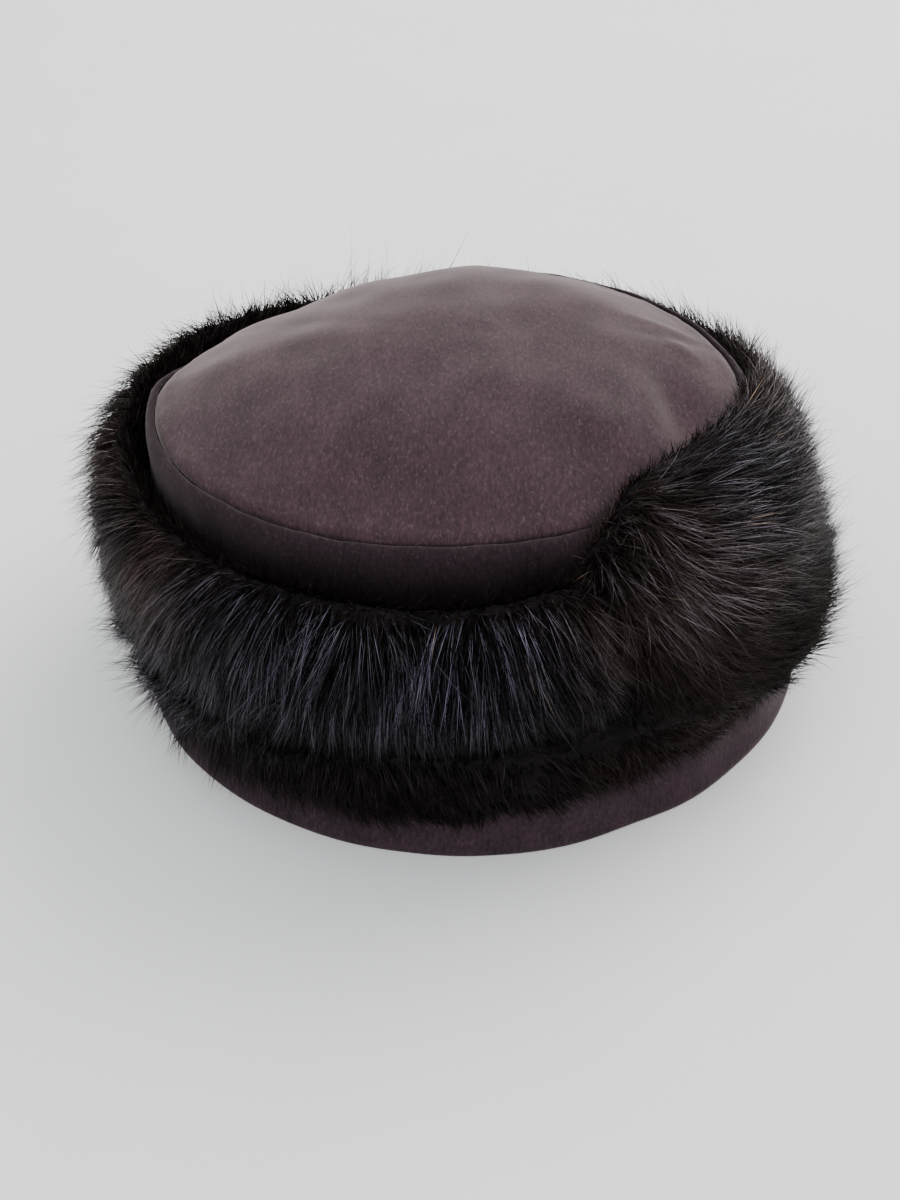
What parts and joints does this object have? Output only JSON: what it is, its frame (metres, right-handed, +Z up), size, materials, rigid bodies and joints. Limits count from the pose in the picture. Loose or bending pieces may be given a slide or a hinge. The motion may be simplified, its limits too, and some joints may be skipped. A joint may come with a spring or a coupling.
{
  "type": "fur hat",
  "caption": "Oval cloth-crowned winter hat with a turned-up deep fur cuff in two pieces, a lower fur band and a short flared cloth brim, hollow for a head.",
  "frame": {"origin": "on the floor, under the middle of the hat's plan", "axes": "+X to the wearer's long side of the oval, where the higher fur flap is, +Y away from the side that shows the cuff's join, +Z up"},
  "size_m": [0.2328, 0.2126, 0.1146],
  "materials": {
    "crown_cloth": "soft napped plum-brown cloth",
    "fur": "deep glossy near-black brown fur"
  },
  "bodies": {
    "root": {"crown_tip": "crown_cloth", "crown_side": "crown_cloth", "brim": "crown_cloth", "fur_band": "fur", "fur_cuff": "fur", "fur_flap": "fur"}
  },
  "joints": []
}
